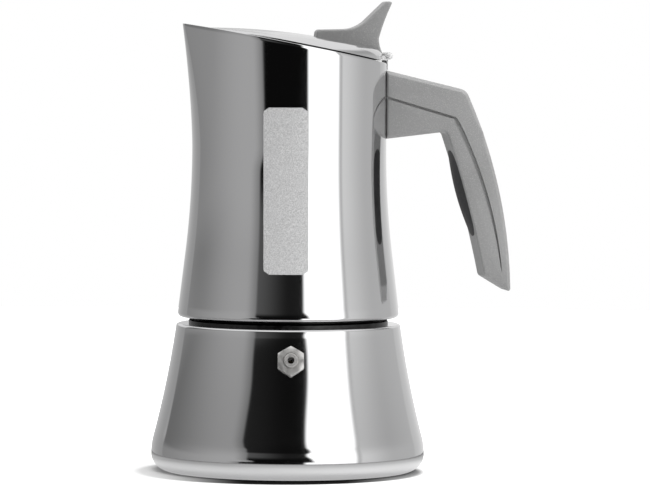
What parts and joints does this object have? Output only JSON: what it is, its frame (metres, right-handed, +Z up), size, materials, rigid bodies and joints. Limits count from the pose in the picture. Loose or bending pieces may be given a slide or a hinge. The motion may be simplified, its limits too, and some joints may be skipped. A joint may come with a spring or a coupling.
{
  "type": "moka pot",
  "caption": "Stovetop espresso pot: a flared boiler with a safety valve, a screw-on spouted jug with a hinged lid and thumb lever, and an angular side handle.",
  "frame": {"origin": "centre of the boiler's flat foot, on the table, on the pot's axis", "axes": "+Z up along the axis of the boiler and the thread; +X towards the hinge and the handle, -X towards the spout; the safety valve faces -Y"},
  "size_m": [0.1375, 0.1048, 0.1799],
  "materials": {
    "polished_steel": "mirror-polished stainless steel",
    "satin_steel": "satin stainless steel",
    "valve_plating": "nickel-plated, satin",
    "brass": "turned",
    "spring_steel": "wire",
    "silicone": "matte",
    "handle_plastic": "metallic grey, moulded",
    "grip_rubber": "soft, matte",
    "knob_plastic": "metallic grey, moulded"
  },
  "bodies": {
    "boiler": {"boiler_shell": "polished_steel", "valve_body": "valve_plating", "valve_washer": "silicone", "valve_nut": "valve_plating", "valve_seat": "brass", "valve_spring": "spring_steel"},
    "valve_poppet": {"valve_poppet": "brass"},
    "funnel": {"funnel_cup": "satin_steel", "funnel_stem": "satin_steel", "funnel_sieve": "satin_steel"},
    "filter_set": {"gasket": "silicone", "filter_plate": "satin_steel"},
    "collector": {"collector_body": "polished_steel", "collector_floor": "satin_steel", "thread_ring": "satin_steel", "column": "satin_steel", "column_cap": "satin_steel", "hinge_bracket": "satin_steel", "hinge_pin": "satin_steel", "handle_bracket": "satin_steel", "handle": "handle_plastic", "grip_insert": "grip_rubber", "handle_screw": "satin_steel"},
    "lid": {"lid": "polished_steel", "lid_hinge_leaf": "satin_steel", "lid_knob": "knob_plastic", "knob_screw": "satin_steel", "knob_washer": "satin_steel"}
  },
  "joints": [
    {"name": "valve_lift", "type": "slide", "parent": "boiler", "child": "valve_poppet", "axis": [-0.0996, -0.9804, 0.1697], "range_m": [0, 0.0012], "stiffness_N_per_m": 300, "springref_m": -0.003, "deforming": ["valve_spring"]},
    {"name": "funnel_lift", "type": "slide", "parent": "boiler", "child": "funnel", "axis": [0, 0, 1], "range_m": [0, 0.07]},
    {"name": "collector_lift", "type": "slide", "parent": "funnel", "child": "filter_set", "axis": [0, 0, 1], "range_m": [0, 0.08]},
    {"name": "collector_turn", "type": "hinge", "parent": "filter_set", "child": "collector", "pos_m": [0, 0, 0.065], "axis": [0, 0, 1], "range_deg": [0, 540]},
    {"name": "lid_open", "type": "hinge", "parent": "collector", "child": "lid", "pos_m": [0.03744, 0, 0.15898], "axis": [0, 1, 0], "range_deg": [0, 105]}
  ]
}
